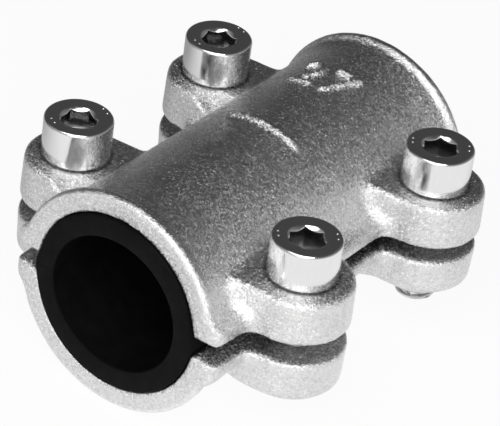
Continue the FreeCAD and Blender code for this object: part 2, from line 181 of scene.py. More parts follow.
def tidy_normals(piece):
    edit_all(piece)
    bpy.ops.mesh.remove_doubles(threshold=0.001 * MM)
    bpy.ops.mesh.normals_make_consistent(inside=False)
    leave_edit()


# %% [markdown]
# ## A copy of each casting to work on
#
# The frame's castings are exact but made of long loose triangles, which can't be worn or
# roughened. A copy is merged into one skin. Its real counterpart was poured into a mould, so no
# edge of it is truly sharp and no face truly flat.

# %% Copy the construction's castings


def copied_node(node, name):
    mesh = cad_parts[node].data.copy()
    piece = bpy.data.objects.new(name, mesh)
    mesh.name = name
    bpy.context.scene.collection.objects.link(piece)
    mesh.materials.clear()
    edit_all(piece)
    bpy.ops.mesh.remove_doubles(threshold=0.002 * MM)
    leave_edit()
    report(piece)
    return piece


upper_casting = copied_node("upper_shell", "upper_casting")
lower_casting = copied_node("lower_shell", "lower_casting")

# %% [markdown]
# ## The raised size number
#
# Such castings carry their pipe size in raised figures on the crown. Here it is a plain 27, the
# pipe's diameter in millimetres. A text object gives the figures and extrusion makes them solid.
# Each point is then wrapped round the crown: sideways distance becomes an angle, and the front
# and the back get a radius each. That keeps the strokes evenly high, which a flat text pressed
# into the crown would not.

# %% Model the figures
FIGURE_HEIGHT = 9.2 * MM
FIGURE_RAISE = 0.80 * MM
FIGURE_SINK = 1.2 * MM
FIGURE_THINNING = 0.05 * MM
FIGURE_PLACE_Y = 21.6 * MM
FIGURE_TURN = math.radians(-5)
CROWN_RADIUS = 20.2 * MM
# From the figures' middle to their far edge the crown rises by this much.
FLARE_RISE = 0.33 * MM
# A figure's height as a share of the text size.
CAP_SHARE = 0.73
# Any thickness would do, since the wrapping sets each point's height.
SLAB_HALF = 0.5


def flat_figures(figures, name):
    bpy.ops.object.select_all(action="DESELECT")
    bpy.ops.object.text_add()
    text = bpy.context.active_object
    text.data.body = figures
    text.data.size = FIGURE_HEIGHT / CAP_SHARE
    text.data.align_x = "CENTER"
    text.data.align_y = "CENTER"
    text.data.extrude = SLAB_HALF
    text.data.offset = -FIGURE_THINNING
    bpy.ops.object.convert(target="MESH")
    piece = added(name)
    edit_all(piece)
    bpy.ops.mesh.remove_doubles(threshold=0.001 * MM)
    bpy.ops.mesh.subdivide(number_cuts=2)
    leave_edit()
    return piece


def wrap_on_crown(piece):
    for vertex in piece.data.vertices:
        along = FIGURE_PLACE_Y + vertex.co.y
        top = CROWN_RADIUS + FIGURE_RAISE
        if along > FIGURE_PLACE_Y:
            top += FLARE_RISE * (along - FIGURE_PLACE_Y) / (FIGURE_HEIGHT / 2)
        radius = top if vertex.co.z > 0 else CROWN_RADIUS - FIGURE_SINK
        angle = FIGURE_TURN + vertex.co.x / CROWN_RADIUS
        vertex.co = Vector((radius * math.sin(angle), along, radius * math.cos(angle)))
    tidy_normals(piece)


size_number = flat_figures("27", "size_number")
wrap_on_crown(size_number)
report(size_number)
join_into(upper_casting, size_number)
report(upper_casting)

# %% [markdown]
# ## The cast skin
#
# A voxel remesh lays an even net of small quads over the casting and melts the figures into it.
# On this net the flange's upright corners are rounded and the cast arc across the crown gets its
# full body. A few passes of smoothing round every edge by a fraction of a millimetre, as molten
# metal rounds it. The edges beside the parting face get more passes, because they were ground,
# and so do the flange's ends. Then each point moves a few hundredths of a millimetre along its
# normal, driven by noise, so that reflections wander as on a real casting. The bore stays true,
# because the rubber lies in it. Bevels would be crisper, but no bevel follows a lofted skin.

# %% A smooth step, and where each point of the skin goes
SKIN_WAVE = 0.055 * MM
SKIN_WAVE_LENGTH = 5.0 * MM
SKIN_PITS = 0.030 * MM
SKIN_PIT_LENGTH = 1.3 * MM
BORE_KEPT = SLEEVE_RADIUS + 0.5 * MM


def smooth_share(value, start, full):
    # Nothing before start, one beyond full, and a soft step between them.
    share = min(1.0, max(0.0, (value - start) / (full - start)))
    return share * share * (3 - 2 * share)


def place_on_skin(place, normal, shift):
    if math.hypot(place.x, place.z) < BORE_KEPT:
        return place.copy()
    wave = noise.noise(place / SKIN_WAVE_LENGTH + shift)
    pits = noise.noise(place / SKIN_PIT_LENGTH - shift)
    return place + normal * (SKIN_WAVE * wave + SKIN_PITS * pits)


# %% Round the flange's corners and fill the cast arc
CORNER_ROUND = 2.3 * MM
FLANGE_HALF_WIDTH = 23.2 * MM
FLANGE_HALF_LENGTH = 40.6 * MM
RIB_PLACE = 0.4 * MM
RIB_SPREAD = (0.35 * MM, 1.15 * MM)
RIB_ENDS = (math.radians(19.2), math.radians(24))
RIB_FULLER = 0.32 * MM


def round_corners(piece):
    # A point outside a corner's arc is drawn onto it.
    for vertex in piece.data.vertices:
        place = vertex.co
        across = abs(place.x) - (FLANGE_HALF_WIDTH - CORNER_ROUND)
        along = abs(place.y) - (FLANGE_HALF_LENGTH - CORNER_ROUND)
        away = math.hypot(across, along)
        if across > 0 and along > 0 and away > CORNER_ROUND:
            place.x -= math.copysign(across * (1 - CORNER_ROUND / away), place.x)
            place.y -= math.copysign(along * (1 - CORNER_ROUND / away), place.y)
    piece.data.update()


def firmer_rib(piece):
    for vertex in piece.data.vertices:
        place = vertex.co
        radius = math.hypot(place.x, place.z)
        angle = abs(math.atan2(place.x, place.z))
        share = 1 - smooth_share(abs(place.y - RIB_PLACE), *RIB_SPREAD)
        share *= 1 - smooth_share(angle, *RIB_ENDS)
        if radius > BORE_KEPT + MM and share > 0:
            place.x *= 1 + RIB_FULLER * share / radius
            place.z *= 1 + RIB_FULLER * share / radius
    piece.data.update()


# %% Extra smoothing beside the parting face and at the flange's ends
PARTING_SMOOTHING = 12
PARTING_REACH = 3.6 * MM
PARTING_FADE = 1.2 * MM
CORNER_SMOOTHING = 10
CORNER_ACROSS = (17.5 * MM, 20 * MM)
CORNER_ALONG = (35 * MM, 37.5 * MM)
CORNER_UP = (4.5 * MM, 7 * MM)


def near_parting(place):
    return min(1.0, (PARTING_REACH - abs(place.z)) / PARTING_FADE)


def near_corner(place):
    return (
        smooth_share(abs(place.x), *CORNER_ACROSS)
        * smooth_share(abs(place.y), *CORNER_ALONG)
        * (1 - smooth_share(abs(place.z), *CORNER_UP))
    )


def smooth_where(piece, name, weight_at, passes):
    group = piece.vertex_groups.new(name=name)
    for vertex in piece.data.vertices:
        weight = weight_at(vertex.co)
        if weight > 0:
            group.add([vertex.index], weight, "REPLACE")
    apply_modifier(piece, name, "SMOOTH", factor=0.5, iterations=passes, vertex_group=name)
    piece.vertex_groups.clear()


# %% Remesh, soften and roughen the castings
SKIN_VOXEL = 0.43 * MM
SKIN_SMOOTHING = 2


def cast_skin(piece, seed):
    apply_modifier(piece, "skin", "REMESH", mode="VOXEL", voxel_size=SKIN_VOXEL)
    round_corners(piece)
    firmer_rib(piece)
    apply_modifier(piece, "soften", "SMOOTH", factor=0.5, iterations=SKIN_SMOOTHING)
    smooth_where(piece, "parting", near_parting, PARTING_SMOOTHING)
    smooth_where(piece, "corners", near_corner, CORNER_SMOOTHING)
    shift = Vector((seed, 0.0, 0.0))
    # All places are worked out before any point moves, since a move makes the normals stale.
    moved = [place_on_skin(vertex.co, vertex.normal, shift) for vertex in piece.data.vertices]
    flat = [value for place in moved for value in place]
    piece.data.vertices.foreach_set("co", flat)
    piece.data.update()
    pick(piece)
    bpy.ops.object.shade_smooth()
    report(piece)


cast_skin(upper_casting, 3.0)
cast_skin(lower_casting, 11.0)

# %% [markdown]
# ## Hollows beside the left ears
#
# On the real casting the left ears' tops fall away beside the body, in front of each screw, and
# this small hollow throws a white patch of light back at the viewer. The skin is dense enough to
# be pressed down point by point, with soft steps on every side, so nothing has to be cut.

# %% Press the hollows
HOLLOW_DEPTH = 2.4 * MM
# Each pair is where a soft step starts and where it is full.
HOLLOW_AHEAD = (4.5 * MM, 9.0 * MM)
HOLLOW_END = (10.5 * MM, 13.0 * MM)
HOLLOW_OUTER = (19.5 * MM, 25.0 * MM)
HOLLOW_BODY = (15.5 * MM, 17.5 * MM)
HOLLOW_SEAT = (6.7 * MM, 7.7 * MM)
HOLLOW_UP = (5.0 * MM, 9.5 * MM)


def hollow_corners(piece):
    screw = screw_seat("screw_back_right")
    for vertex in piece.data.vertices:
        place = vertex.co
        if place.x > 0:
            continue
        ahead = math.copysign(screw.y, place.y) - place.y
        share = smooth_share(ahead, *HOLLOW_AHEAD)
        share *= 1 - smooth_share(ahead, *HOLLOW_END)
        share *= 1 - smooth_share(-place.x, *HOLLOW_OUTER)
        share *= smooth_share(-place.x, *HOLLOW_BODY)
        share *= smooth_share(math.hypot(-place.x - screw.x, ahead), *HOLLOW_SEAT)
        share *= smooth_share(place.z, *HOLLOW_UP)
        place.z -= HOLLOW_DEPTH * share
    piece.data.update()


hollow_corners(upper_casting)
print("hollows at most", round(HOLLOW_DEPTH / MM, 2), "mm deep")

# %% [markdown]
# ## Uneven ears
#
# No two ears of a casting come out alike. On this one the left ears are a little short. The
# lower half has warped, so that its ears no longer lie level, and its front right ear came out
# thicker. Each ear gets small shifts that fade to nothing before they reach the bore, so the
# rubber's seat stays round.

# %% Shift the ears a little
EAR_REACH = (18.0 * MM, 23.0 * MM)
EAR_END = (28.0 * MM, 35.0 * MM)
EAR_BETWEEN = (-10.0 * MM, 10.0 * MM)
EAR_UNDER = (2.5 * MM, 8.0 * MM)


def uneven_ears(piece, shifts):
    # How much shorter each ear is, how much higher it sits and how much thicker it is below,
    # in millimetres.
    for vertex in piece.data.vertices:
        place = vertex.co
        side = "right" if place.x > 0 else "left"
        front = 1 - smooth_share(place.y, *EAR_BETWEEN)
        shorter, higher, thicker = (
            front * in_front + (1 - front) * behind
            for in_front, behind in zip(shifts[f"front_{side}"], shifts[f"back_{side}"])
        )
        below = smooth_share(-place.z, *EAR_UNDER)
        reach = smooth_share(abs(place.x), *EAR_REACH)
        end = smooth_share(abs(place.x), *EAR_END)
        place.x -= math.copysign(end * shorter * MM, place.x)
        place.z += reach * (higher - below * thicker) * MM
    piece.data.update()


uneven_ears(upper_casting, {
    "front_left": (0.6, 0.0, 0.0), "back_left": (0.9, 0.0, 0.0),
    "front_right": (0.0, 0.0, 0.0), "back_right": (0.0, 0.0, 0.0),
})
uneven_ears(lower_casting, {
    "front_left": (0.6, 0.45, 0.0), "back_left": (0.8, 0.1, 0.0),
    "front_right": (-0.1, -0.35, 0.6), "back_right": (-0.3, 0.7, -0.2),
})
for casting in (upper_casting, lower_casting):
    print(casting.name, "size", tuple(round(value, 4) for value in casting.dimensions))

# %% [markdown]
# ## The rubber sleeve
#
# The real sleeve is an extruded strip, bent round and cut square at its ends, with its long
# edges slightly rounded. Here one rectangle of its section is spun almost full circle about the
# pipe's axis. What is left open is the slit on the left side, through which the sleeve goes
# round a pipe. The castings squeeze the sleeve, so it swells a little into the gap between them,
# and its bore turns slightly oval.

# %% Spin the sleeve
SLEEVE_EDGE = 0.35 * MM
SLEEVE_STEPS = 180


def spun_sleeve(name):
    middle = SLEEVE_RADIUS - SLEEVE_WALL / 2
    piece = primitive(name, bpy.ops.mesh.primitive_plane_add, size=1)
    for vertex in piece.data.vertices:
        across = vertex.co.x * SLEEVE_WALL
        along = vertex.co.y * 2 * SLEEVE_HALF
        vertex.co = Vector((-(middle + across), along, 0))
    edit_all(piece)
    bpy.ops.mesh.bevel(offset=SLEEVE_EDGE, segments=3, affect="VERTICES")
    open_angle = SLEEVE_SLIT / middle
    bpy.ops.transform.rotate(
        value=open_angle / 2, orient_axis="Y", center_override=(0, 0, 0)
    )
    bpy.ops.mesh.spin(
        steps=SLEEVE_STEPS, angle=2 * math.pi - open_angle, center=(0, 0, 0), axis=(0, 1, 0)
    )
    leave_edit()
    return piece


rubber_lining = spun_sleeve("rubber_lining")

# %% Squeeze the sleeve
SLEEVE_BULGE = 0.45 * MM
BULGE_NARROWNESS = 100
SLEEVE_SQUEEZE = 0.30 * MM
SQUEEZED_OUT = 0.6


def squeeze(piece):
    middle = SLEEVE_RADIUS - SLEEVE_WALL / 2
    for vertex in piece.data.vertices:
        place = vertex.co
        radius = math.hypot(place.x, place.z)
        sideways = abs(place.x) / radius
        if radius > middle:
            grown = SLEEVE_BULGE * sideways ** BULGE_NARROWNESS
        else:
            grown = SLEEVE_SQUEEZE * ((1 + SQUEEZED_OUT) * sideways ** 2 - 1)
        place.x *= 1 + grown / radius
        place.z *= 1 + grown / radius
    tidy_normals(piece)
    pick(piece)
    bpy.ops.object.shade_smooth_by_angle(angle=math.radians(35))


squeeze(rubber_lining)
report(rubber_lining)
print("lining size", tuple(round(value, 4) for value in rubber_lining.dimensions))

# %% [markdown]
# ## The cap screw: head and socket
#
# The head starts as a cylinder. Its upper edge is rounded and its foot gets a narrow chamfer,
# which leaves the dark line under a real head. Booleans cut the socket: a hexagon for the key, a
# cone that leads the key in, a flat dish round it and a few tiny pips such as a header's die
# leaves. The socket's own edges are then broken by a hair, so that they catch light.

# %% The head's blank
HEAD_SIDES = 128
HEAD_EDGE = 0.7 * MM
HEAD_FOOT = 0.35 * MM


def bevel_edges(piece, wanted, offset, segments):
    # The test is given each edge's middle and the angle between its two faces.
    def chosen(edge):
        middle = (edge.verts[0].co + edge.verts[1].co) / 2
        return wanted(middle, edge.calc_face_angle(0.0))

    edit_edges(piece, chosen)
    bpy.ops.mesh.bevel(offset=offset, segments=segments, affect="EDGES")
    leave_edit()


def head_blank():
    piece = primitive(
        "head", bpy.ops.mesh.primitive_cylinder_add,
        vertices=HEAD_SIDES, radius=HEAD_RADIUS, depth=HEAD_HEIGHT,
        location=(0, 0, HEAD_HEIGHT / 2),
    )
    bevel_edges(piece, lambda middle, angle: middle.z > HEAD_HEIGHT * 0.99, HEAD_EDGE, 6)
    bevel_edges(piece, lambda middle, angle: middle.z < HEAD_HEIGHT * 0.01, HEAD_FOOT, 1)
    return piece


master_head = head_blank()
report(master_head)

# %% The cutters
HEXAGON_WIDTH = 6.0 * MM
HEXAGON_DEPTH = 4.4 * MM
PIP_RADIUS = 0.32 * MM
PIP_RING = 5.35 * MM
# How far a pip's centre stands above the head's face, as a share of its radius.
PIP_LIFT = 0.55


def socket_cutter():
    return primitive(
        "socket_cutter", bpy.ops.mesh.primitive_cylinder_add,
        vertices=6, radius=HEXAGON_WIDTH / math.sqrt(3), depth=2 * HEXAGON_DEPTH,
        location=(0, 0, HEAD_HEIGHT), rotation=(0, 0, math.radians(30)),
    )


def cone_cutter(radius, depth):
    # Twice as tall as the cone and twice as wide at its top, so that it passes the head's face.
    return primitive(
        "cone_cutter", bpy.ops.mesh.primitive_cone_add,
        vertices=HEAD_SIDES, radius1=0, radius2=2 * radius, depth=2 * depth,
        location=(0, 0, HEAD_HEIGHT),
    )


def pip_cutter(angle):
    height = HEAD_HEIGHT + PIP_RADIUS * PIP_LIFT
    return primitive(
        "pip_cutter", bpy.ops.mesh.primitive_uv_sphere_add,
        segments=20, ring_count=12, radius=PIP_RADIUS,
        location=(PIP_RING * math.cos(angle), PIP_RING * math.sin(angle), height),
    )


def cut_away(piece, cutter):
    apply_modifier(piece, "cut", "BOOLEAN", operation="DIFFERENCE", object=cutter, solver="EXACT")
    bpy.data.objects.remove(cutter)


# %% Cut the socket into the head
MOUTH_RADIUS = 3.9 * MM
MOUTH_DEPTH = 3.8 * MM
MOUTH_EDGES = 1.8 * MM
DISH_RADIUS = 4.75 * MM
DISH_DEPTH = 0.9 * MM
SOCKET_EDGE = 0.10 * MM
PIP_ANGLES = (20, 38, 200, 216)


def socket_rim(middle, angle):
    near = math.hypot(middle.x, middle.y) < MOUTH_RADIUS * 1.05
    high = middle.z > HEAD_HEIGHT - MOUTH_EDGES
    return near and high and angle > math.radians(25)


cut_away(master_head, socket_cutter())
cut_away(master_head, cone_cutter(MOUTH_RADIUS, MOUTH_DEPTH))
cut_away(master_head, cone_cutter(DISH_RADIUS, DISH_DEPTH))
tidy_normals(master_head)
bevel_edges(master_head, socket_rim, SOCKET_EDGE, 2)
for pip_angle in PIP_ANGLES:
    cut_away(master_head, pip_cutter(math.radians(pip_angle)))
report(master_head)

# %% [markdown]
# ## The cap screw: a real thread
#
# The shank has an M8 thread with a pitch of 1.25 mm. An open cylinder is divided into fine
# rings, and each point is moved in or out by where it lies on the helix: full radius on the
# crest, a flank, the root, and a flank again. The tip is chamfered, as thread rolling leaves
# it. A bump would be cheaper, but the thread shows in outline where the screw's end stands out.

# %% Measures of the thread
THREAD_RADIUS = 3.97 * MM
THREAD_PITCH = 1.25 * MM
THREAD_DEPTH = 0.70 * MM
THREAD_CREST = 0.16
THREAD_ROOT = 0.24
SHANK_SIDES = 64
RINGS_PER_PITCH = 10
POINT_CHAMFER = 0.5 * MM
# How far the shank reaches up into the head.
BURIED = 0.6 * MM

first_low, first_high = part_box(SCREWS[0])
SHANK_LENGTH = first_high.z - first_low.z - HEAD_HEIGHT
print("shank length", round(SHANK_LENGTH, 5))

# %% Roll the thread


def thread_depth_at(share):
    # share runs from 0 to 1 along one pitch; the crest is in its middle.
    away = abs(share - 0.5) * 2
    flank = (away - THREAD_CREST) / (1 - THREAD_CREST - THREAD_ROOT)
    return THREAD_DEPTH * min(1.0, max(0.0, flank))


def threaded_shank():
    length = SHANK_LENGTH + BURIED
    piece = primitive(
        "shank", bpy.ops.mesh.primitive_cylinder_add,
        vertices=SHANK_SIDES, radius=THREAD_RADIUS, depth=length, end_fill_type="NOTHING",
        location=(0, 0, BURIED - length / 2),
    )
    edit_edges(piece, lambda edge: abs(edge.verts[0].co.z - edge.verts[1].co.z) > length / 2)
    bpy.ops.mesh.subdivide(number_cuts=round(length / THREAD_PITCH * RINGS_PER_PITCH))
    leave_edit()
    for vertex in piece.data.vertices:
        angle = math.atan2(vertex.co.y, vertex.co.x)
        share = (vertex.co.z / THREAD_PITCH - angle / (2 * math.pi)) % 1.0
        radius = THREAD_RADIUS - thread_depth_at(share)
        above_tip = vertex.co.z + SHANK_LENGTH
        radius = min(radius, THREAD_RADIUS - POINT_CHAMFER + above_tip)
        vertex.co.x = radius * math.cos(angle)
        vertex.co.y = radius * math.sin(angle)
    return piece


def close_ends(piece):
    edit_edges(piece, lambda edge: edge.is_boundary)
    bpy.ops.mesh.edge_face_add()
    leave_edit()
    tidy_normals(piece)


master_shank = threaded_shank()
close_ends(master_shank)
report(master_shank)

# %% [markdown]
# ## Four screws from one
#
# Head and shank are joined and copied four times. Each copy gets its own mesh and is turned as
# its neighbour in the photograph is turned, since no two screws stop at the same angle. The
# turn and the place go into the mesh, so that every finished object stays at the origin.

# %% Place the four screws
HEXAGON_TURNS = {
    "screw_front_left": 36.0,
    "screw_front_right": 12.0,
    "screw_back_left": 45.0,
    "screw_back_right": 3.0,
}


def place_screw(master, name):
    piece = master.copy()
    piece.data = master.data.copy()
    piece.name = f"cap_{name}"
    piece.data.name = piece.name
    bpy.context.scene.collection.objects.link(piece)
    turn = Matrix.Rotation(math.radians(HEXAGON_TURNS[name]), 4, "Z")
    piece.data.transform(Matrix.Translation(screw_seat(name)) @ turn)
    report(piece)
    return piece


join_into(master_head, master_shank)
bpy.ops.object.shade_smooth_by_angle(angle=math.radians(24))
cap_screws = {name: place_screw(master_head, name) for name in SCREWS}
bpy.data.objects.remove(master_head)

# %% [markdown]
# ## Building with nodes
#
# Every finish below is a small net of nodes. A few helpers keep it readable: `feed` sets a
# number on a socket or wires a value to it, `spread` stretches a range, and `between` turns a
# mask into two other numbers.

# %% Helpers for adding and wiring nodes


def add_node(tree, kind, **settings):
    node = tree.nodes.new(kind)
    for key, value in settings.items():
        setattr(node, key, value)
    return node


def wire(tree, source, target):
    tree.links.new(source, target)


def feed(tree, value, socket):
    if isinstance(value, (int, float, tuple)):
        socket.default_value = value
    else:
        wire(tree, value, socket)


def new_group(name, inputs, outputs):
    group = bpy.data.node_groups.new(name, "ShaderNodeTree")
    for label, kind, value in inputs:
        socket = group.interface.new_socket(label, in_out="INPUT", socket_type=kind)
        if value is not None:
            socket.default_value = value
    for label, kind in outputs:
        group.interface.new_socket(label, in_out="OUTPUT", socket_type=kind)
    return group, add_node(group, "NodeGroupInput"), add_node(group, "NodeGroupOutput")


# %% Helpers for values and masks


def math_node(tree, operation, *values):
    node = add_node(tree, "ShaderNodeMath", operation=operation)
    for socket, value in zip(node.inputs, values):
        feed(tree, value, socket)
    return node.outputs["Value"]


def vector_node(tree, operation, *values):
    node = add_node(tree, "ShaderNodeVectorMath", operation=operation)
    for socket, value in zip(node.inputs, values):
        feed(tree, value, socket)
    return node


def separated(tree, vector):
    node = add_node(tree, "ShaderNodeSeparateXYZ")
    wire(tree, vector, node.inputs["Vector"])
    return node.outputs


def noise_node(tree, vector, scale, detail, roughness=0.5):
    node = add_node(tree, "ShaderNodeTexNoise")
    wire(tree, vector, node.inputs["Vector"])
    for label, value in (("Scale", scale), ("Detail", detail), ("Roughness", roughness)):
        feed(tree, value, node.inputs[label])
    return node.outputs["Fac"]


def spread(tree, value, low, high, to_low=0.0, to_high=1.0):
    node = add_node(tree, "ShaderNodeMapRange")
    wire(tree, value, node.inputs["Value"])
    for label, number in (
        ("From Min", low), ("From Max", high), ("To Min", to_low), ("To Max", to_high)
    ):
        feed(tree, number, node.inputs[label])
    return node.outputs["Result"]


def between(tree, mask, at_none, at_full):
    return spread(tree, mask, 0.0, 1.0, at_none, at_full)


def grey_ramp(tree, factor, stops):
    ramp = add_node(tree, "ShaderNodeValToRGB")
    wire(tree, factor, ramp.inputs["Fac"])
    elements = ramp.color_ramp.elements
    while len(elements) < len(stops):
        elements.new(0.5)
    for element, (position, grey) in zip(elements, stops):
        element.position = position
        element.color = (grey, grey, grey, 1)
    return ramp.outputs["Color"]


# %% [markdown]
# ## A shared grain
#
# Casting, screw and rubber all have a fine grain, each of its own size and strength. One node
# group makes it: two layers of noise in object space, measured in millimetres. It puts out a
# mask for colour and roughness and a height for bump. Cast metal also has crystals, each leaning
# its own way, so that some flash and some stay dark. A cell texture gives every crystal its own
# tone and its own lean, which is added to the surface normal. A stronger bump would sparkle too,
# but it turns into worms where the light grazes.

# %% Build the grain group
COARSE_SHARE = 0.28
GRAIN_RANGE = (0.36, 0.64)


def crystal_nodes(tree, given):
    # The crystals' tone, and the surface normal with each crystal's lean added.
    cells = add_node(tree, "ShaderNodeTexVoronoi", voronoi_dimensions="3D", feature="F1")
    wire(tree, given.outputs["Millimetres"], cells.inputs["Vector"])
    wire(tree, given.outputs["Crystals per mm"], cells.inputs["Scale"])
    tone = separated(tree, cells.outputs["Color"])["X"]
    centred = vector_node(tree, "SUBTRACT", cells.outputs["Color"], (0.5, 0.5, 0.5))
    lean = vector_node(tree, "SCALE", centred.outputs["Vector"])
    wire(tree, given.outputs["Lean"], lean.inputs["Scale"])
    surface = add_node(tree, "ShaderNodeNewGeometry")
    tilted = vector_node(tree, "ADD", surface.outputs["Normal"], lean.outputs["Vector"])
    level = vector_node(tree, "NORMALIZE", tilted.outputs["Vector"])
    return tone, level.outputs["Vector"]


def grain_group():
    tree, given, result = new_group(
        "fine_grain",
        [
            ("Millimetres", "NodeSocketVector", None),
            ("Grain per mm", "NodeSocketFloat", 3.0),
            ("Crystals per mm", "NodeSocketFloat", 4.0),
            ("Lean", "NodeSocketFloat", 0.0),
        ],
        [
            ("Mask", "NodeSocketFloat"),
            ("Height", "NodeSocketFloat"),
            ("Crystal", "NodeSocketFloat"),
            ("Normal", "NodeSocketVector"),
        ],
    )
    place = given.outputs["Millimetres"]
    per_mm = given.outputs["Grain per mm"]
    fine = noise_node(tree, place, per_mm, detail=3.0, roughness=0.7)
    fewer = math_node(tree, "MULTIPLY", per_mm, COARSE_SHARE)
    coarse = noise_node(tree, place, fewer, detail=2.0)
    halves = [math_node(tree, "MULTIPLY", layer, 0.5) for layer in (fine, coarse)]
    both = math_node(tree, "ADD", *halves)
    crystal, normal = crystal_nodes(tree, given)
    wire(tree, spread(tree, both, *GRAIN_RANGE), result.inputs["Mask"])
    wire(tree, both, result.inputs["Height"])
    wire(tree, crystal, result.inputs["Crystal"])
    wire(tree, normal, result.inputs["Normal"])
    return tree


FINE_GRAIN = grain_group()
print("group", FINE_GRAIN.name)

# %% [markdown]
# ## How far from a screw
#
# The casting gets a painted contact shadow round each screw's foot, and the screw gets painted
# shade in its socket.
# Both finishes ask how far a point lies from the nearest screw's axis, so a second group answers
# that. The four screws mirror each other, so the size of X and Y is enough.

# %% Build the distance group
FIRST_SEAT = screw_seat(SCREWS[0])
SCREW_X = abs(FIRST_SEAT.x) / MM
SCREW_Y = abs(FIRST_SEAT.y) / MM
SEAT = FIRST_SEAT.z / MM
HEAD_TOP = SEAT + HEAD_HEIGHT / MM


def screw_distance_group():
    tree, given, result = new_group(
        "screw_distance",
        [("Millimetres", "NodeSocketVector", None)],
        [("Distance", "NodeSocketFloat"), ("Height", "NodeSocketFloat")],
    )
    parts = separated(tree, given.outputs["Millimetres"])
    squares = []
    for label, middle in (("X", SCREW_X), ("Y", SCREW_Y)):
        size = math_node(tree, "ABSOLUTE", parts[label])
        away = math_node(tree, "SUBTRACT", size, middle)
        squares.append(math_node(tree, "MULTIPLY", away, away))
    distance = math_node(tree, "SQRT", math_node(tree, "ADD", *squares))
    wire(tree, distance, result.inputs["Distance"])
    wire(tree, parts["Z"], result.inputs["Height"])
    return tree


SCREW_DISTANCE = screw_distance_group()
print("group", SCREW_DISTANCE.name, "heads' top at", round(HEAD_TOP, 3), "mm")

# %% [markdown]
# ## Starting a material
#
# Every material here begins alike: object coordinates turned into millimetres, the grain group
# with its own size, and a Principled shader whose fixed numbers are set on its own sockets.

# %% Helpers that every material uses


def new_material(name, grain_per_mm, metallic):
    material = bpy.data.materials.new(name)
    material.use_nodes = True
    tree = material.node_tree
    shader = tree.nodes["Principled BSDF"]
    shader.inputs["Metallic"].default_value = metallic
    coordinates = add_node(tree, "ShaderNodeTexCoord")
    millimetres = add_node(tree, "ShaderNodeMapping")
    millimetres.inputs["Scale"].default_value = (1 / MM, 1 / MM, 1 / MM)
    wire(tree, coordinates.outputs["Object"], millimetres.inputs["Vector"])
    grain = add_node(tree, "ShaderNodeGroup", node_tree=FINE_GRAIN)
    grain.inputs["Grain per mm"].default_value = grain_per_mm
    wire(tree, millimetres.outputs["Vector"], grain.inputs["Millimetres"])
    return material, tree, shader, millimetres.outputs["Vector"], grain


def screw_distance(tree, place):
    node = add_node(tree, "ShaderNodeGroup", node_tree=SCREW_DISTANCE)
    wire(tree, place, node.inputs["Millimetres"])
    return node.outputs["Distance"], node.outputs["Height"]


def darkened(tree, tone, mask, shade):
    # The tone, less a share of itself where the mask is one.
    node = add_node(tree, "ShaderNodeMix", data_type="RGBA", blend_type="MULTIPLY")
    node.inputs["Factor"].default_value = 1.0
    colours = [socket for socket in node.inputs if socket.type == "RGBA"]
    wire(tree, tone, colours[0])
    wire(tree, between(tree, mask, 1.0, 1.0 - shade), colours[1])
    return [socket for socket in node.outputs if socket.type == "RGBA"][0]


def bump(tree, shader, height, depth, start=None):
    node = add_node(tree, "ShaderNodeBump")
    node.inputs["Distance"].default_value = depth
    wire(tree, height, node.inputs["Height"])
    if start is not None:
        wire(tree, start, node.inputs["Normal"])
    wire(tree, node.outputs["Normal"], shader.inputs["Normal"])


# %% [markdown]
# ## The casting's finish
#
# Bare cast metal with a thin bright plating: satin, neutral grey, with a salt and pepper grain
# about a fifth of a millimetre across. The grain darkens the pits, changes the gloss from
# spot to spot and gives the surface a fine relief. Broad soft patches stand for the plating's
# uneven thickness. Two places are darker: the parting faces, with painted shade for the gap
# between the halves, and a thin ring round the foot of each screw head, a painted contact
# shadow. The collars' rims stand out furthest and have been rubbed smooth, so they are
# glossier, and lighter in colour, partly as wear and partly as a painted highlight.

# %% Masks on the casting
# Where each mask starts and ends, in millimetres.
RIM_RADIUS = (20.7, 21.2)
RIM_NEAR_END = (35.5, 36.5)
RIM_OFF_FLANGE = (20.4, 19.4)
PARTING_LEVEL = (2.6, 3.0)
# These two are measured from the head's side and from its seat.
FOOT_RING = (0.1, 0.9)
FOOT_LEVEL = (-0.7, -0.4)
# How squarely a face looks up or down, where one is squarely.
PARTING_FACING = (0.6, 0.9)


# The rims get more gloss as wear, and a lighter colour that is partly wear and partly a painted
# highlight.
def rim_wear_and_painted_highlight(tree, place):
    # Far from the pipe's axis, near the casting's end and off the flange.
    parts = separated(tree, place)
    across = add_node(tree, "ShaderNodeCombineXYZ")
    wire(tree, parts["X"], across.inputs["X"])
    wire(tree, parts["Z"], across.inputs["Z"])
    radius = vector_node(tree, "LENGTH", across.outputs["Vector"])
    mask = spread(tree, radius.outputs["Value"], *RIM_RADIUS)
    for label, limits in (("Y", RIM_NEAR_END), ("X", RIM_OFF_FLANGE)):
        size = math_node(tree, "ABSOLUTE", parts[label])
        mask = math_node(tree, "MULTIPLY", mask, spread(tree, size, *limits))
    return mask


# Painted contact shadow: a thin ring round the foot of each screw head.
def painted_foot_shadow(tree, distance, height):
    inner, outer = (HEAD_RADIUS / MM + gap for gap in FOOT_RING)
    low, high = (SEAT + level for level in FOOT_LEVEL)
    ring = spread(tree, distance, inner, outer, 1.0, 0.0)
    return math_node(tree, "MULTIPLY", ring, spread(tree, height, low, high))


# Painted shade on the faces in the gap between the two halves.
def parting_faces_painted_shade(tree, height):
    # Low down, and facing up or down.
    low, high = PARTING_LEVEL
    level = spread(tree, math_node(tree, "ABSOLUTE", height), low, high, 1.0, 0.0)
    facing = add_node(tree, "ShaderNodeTexCoord")
    upright = separated(tree, facing.outputs["Normal"])["Z"]
    flat = spread(tree, math_node(tree, "ABSOLUTE", upright), *PARTING_FACING)
    return math_node(tree, "MULTIPLY", level, flat)


